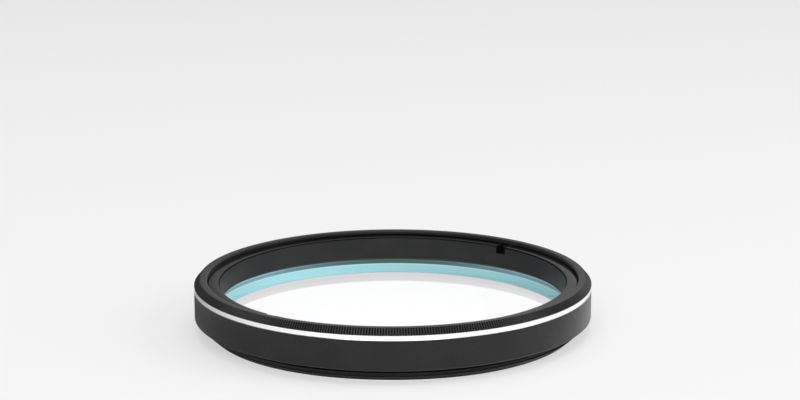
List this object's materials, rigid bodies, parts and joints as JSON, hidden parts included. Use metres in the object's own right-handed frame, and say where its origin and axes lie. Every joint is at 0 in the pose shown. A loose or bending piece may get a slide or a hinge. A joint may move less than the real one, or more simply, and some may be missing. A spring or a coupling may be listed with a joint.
{
  "type": "optical bandpass filter",
  "caption": "Round screw-in bandpass filter: black turned cell with a knurled rim, bright line and male thread, holding a coated glass disc under a slotted retaining ring.",
  "frame": {"origin": "centre of the male thread's end face, which the filter stands on", "axes": "+Z along the optical axis, from the male thread towards the knurled rim and the retaining ring; one spanner slot lies 48.5 degrees from +X towards +Y"},
  "size_m": [0.0506, 0.0506, 0.0069],
  "materials": {
    "cell_body": "turned aluminium, satin black anodised, with one bare bright line and a white ring of clean metal in the lower bore",
    "filter_glass": "polished optical glass with a thin-film coating, cyan at its edge",
    "retaining_ring": "turned aluminium, matt black anodised"
  },
  "bodies": {
    "root": {"cell_body": "cell_body", "filter_glass": "filter_glass", "retaining_ring": "retaining_ring"}
  },
  "joints": []
}
